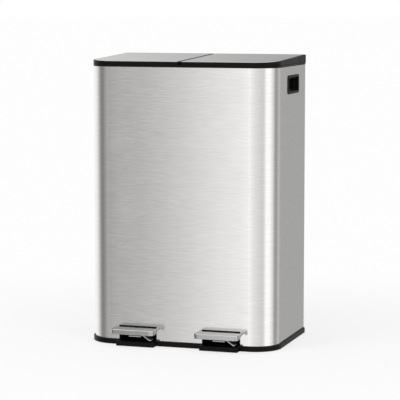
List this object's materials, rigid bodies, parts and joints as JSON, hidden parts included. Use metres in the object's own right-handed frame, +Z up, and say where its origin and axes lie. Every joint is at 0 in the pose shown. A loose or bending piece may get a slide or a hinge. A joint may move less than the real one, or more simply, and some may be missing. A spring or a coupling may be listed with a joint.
{
  "type": "double pedal recycling bin",
  "caption": "Upright steel pedal bin with two lids side by side, each opened by its own pedal and lever, over two lift-out buckets.",
  "frame": {"origin": "on the floor, in the middle of the footprint from the pedals' front edge to the base's back edge", "axes": "+Z up, +X to the right seen from the front, +Y to the back: the pedals point along -Y"},
  "size_m": [0.451, 0.3204, 0.66],
  "materials": {
    "body_steel": "satin stainless sheet, brushed from side to side",
    "lid_steel": "satin stainless plate, fine brushing from front to back",
    "pedal_steel": "pressed stainless plate, satin, with bright edges",
    "zinc_steel": "zinc plated steel strip and rod, dull",
    "black_plastic": "moulded black plastic with a fine grain and slightly shiny edges",
    "bucket_plastic": "moulded dark grey plastic, matte",
    "rubber": "black rubber, matte"
  },
  "bodies": {
    "bin_body": {"base_tray": "black_plastic", "outer_shell": "body_steel", "rear_panel": "body_steel", "top_frame": "black_plastic", "foot_front_left": "rubber", "foot_rear_left": "rubber", "foot_front_right": "rubber", "foot_rear_right": "rubber", "side_grip_left": "black_plastic", "pedal_housing_left": "black_plastic", "pedal_axle_left": "zinc_steel", "inner_bucket_left": "bucket_plastic", "rod_guide_left": "zinc_steel", "damper_cylinder_left": "zinc_steel", "hinge_pin_left": "zinc_steel", "rear_screw_left_1": "zinc_steel", "rear_screw_left_2": "zinc_steel", "rear_screw_left_3": "zinc_steel", "side_grip_right": "black_plastic", "pedal_housing_right": "black_plastic", "pedal_axle_right": "zinc_steel", "inner_bucket_right": "bucket_plastic", "rod_guide_right": "zinc_steel", "damper_cylinder_right": "zinc_steel", "hinge_pin_right": "zinc_steel", "rear_screw_right_1": "zinc_steel", "rear_screw_right_2": "zinc_steel", "rear_screw_right_3": "zinc_steel"},
    "lid_left": {"lid_frame_left": "black_plastic", "lid_plate_left": "lid_steel", "lid_stop_left": "rubber"},
    "pedal_left": {"pedal_plate_left": "pedal_steel", "pedal_lever_left": "zinc_steel"},
    "rod_left": {"push_rod_left": "zinc_steel", "damper_plunger_left": "zinc_steel"},
    "lid_right": {"lid_frame_right": "black_plastic", "lid_plate_right": "lid_steel", "lid_stop_right": "rubber"},
    "pedal_right": {"pedal_plate_right": "pedal_steel", "pedal_lever_right": "zinc_steel"},
    "rod_right": {"push_rod_right": "zinc_steel", "damper_plunger_right": "zinc_steel"}
  },
  "joints": [
    {"name": "lid_left_hinge", "type": "hinge", "parent": "bin_body", "child": "lid_left", "pos_m": [-0.11215, 0.14825, 0.648], "axis": [-1, 0, 0], "range_deg": [0, 80]},
    {"name": "pedal_left_hinge", "type": "hinge", "parent": "bin_body", "child": "pedal_left", "pos_m": [-0.0685, -0.02875, 0.014], "axis": [1, 0, 0], "range_deg": [0, 7.5]},
    {"name": "rod_left_slide", "type": "slide", "parent": "bin_body", "child": "rod_left", "axis": [0, 0, 1], "range_m": [0, 0.0214]},
    {"name": "lid_right_hinge", "type": "hinge", "parent": "bin_body", "child": "lid_right", "pos_m": [0.11215, 0.14825, 0.648], "axis": [-1, 0, 0], "range_deg": [0, 80]},
    {"name": "pedal_right_hinge", "type": "hinge", "parent": "bin_body", "child": "pedal_right", "pos_m": [0.1305, -0.02875, 0.014], "axis": [1, 0, 0], "range_deg": [0, 7.5]},
    {"name": "rod_right_slide", "type": "slide", "parent": "bin_body", "child": "rod_right", "axis": [0, 0, 1], "range_m": [0, 0.0214]}
  ],
  "couplings": [
    {"joint": "pedal_left_hinge", "follows": "lid_left_hinge", "ratio": 0.0937},
    {"joint": "rod_left_slide", "follows": "lid_left_hinge", "m_per_rad": 0.015326},
    {"joint": "pedal_right_hinge", "follows": "lid_right_hinge", "ratio": 0.0937},
    {"joint": "rod_right_slide", "follows": "lid_right_hinge", "m_per_rad": 0.015326}
  ]
}
